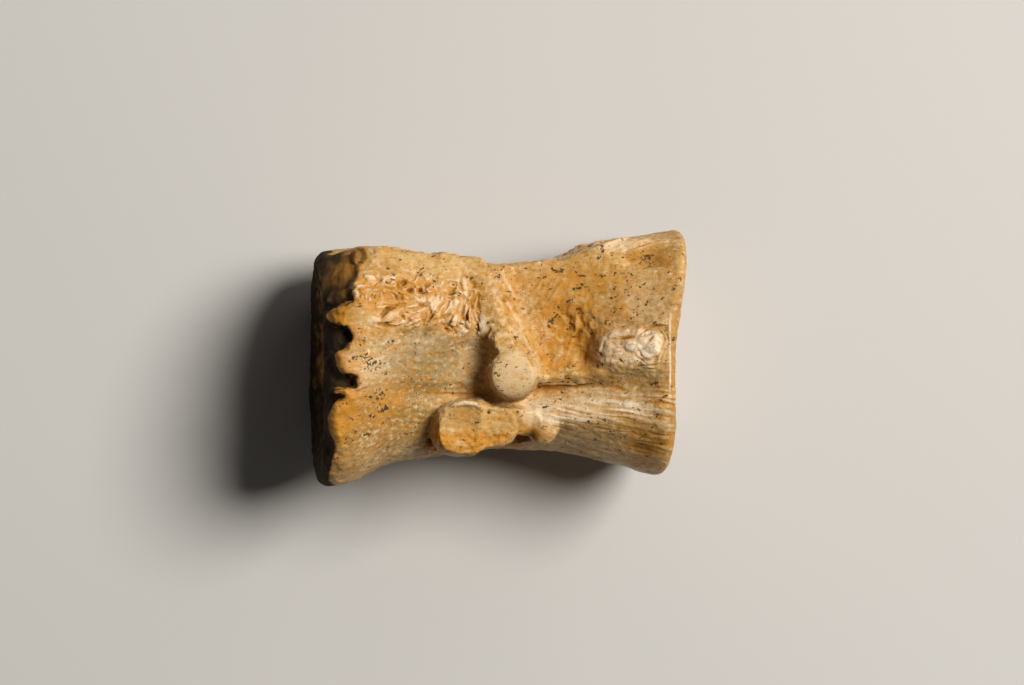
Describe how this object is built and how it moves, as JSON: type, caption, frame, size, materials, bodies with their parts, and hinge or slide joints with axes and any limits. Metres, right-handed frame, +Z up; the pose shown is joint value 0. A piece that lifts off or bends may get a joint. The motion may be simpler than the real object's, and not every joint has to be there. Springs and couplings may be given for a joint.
{
  "type": "fossil reptile vertebra",
  "caption": "Long hourglass-shaped fossil vertebral body with hollowed ends, a rib-head knob and facet on each side, a canal trough along its back and a chipped rim.",
  "frame": {"origin": "centre of the bone's box, on the table it lies on", "axes": "+X along the bone, towards the end with the taller rim; +Y towards the bone's back; +Z up"},
  "size_m": [0.0294, 0.0208, 0.0183],
  "materials": {
    "fossil_bone": "mineralised bone, cream to ochre with dark specks, satin"
  },
  "bodies": {
    "root": {"vertebra": "fossil_bone"}
  },
  "joints": []
}
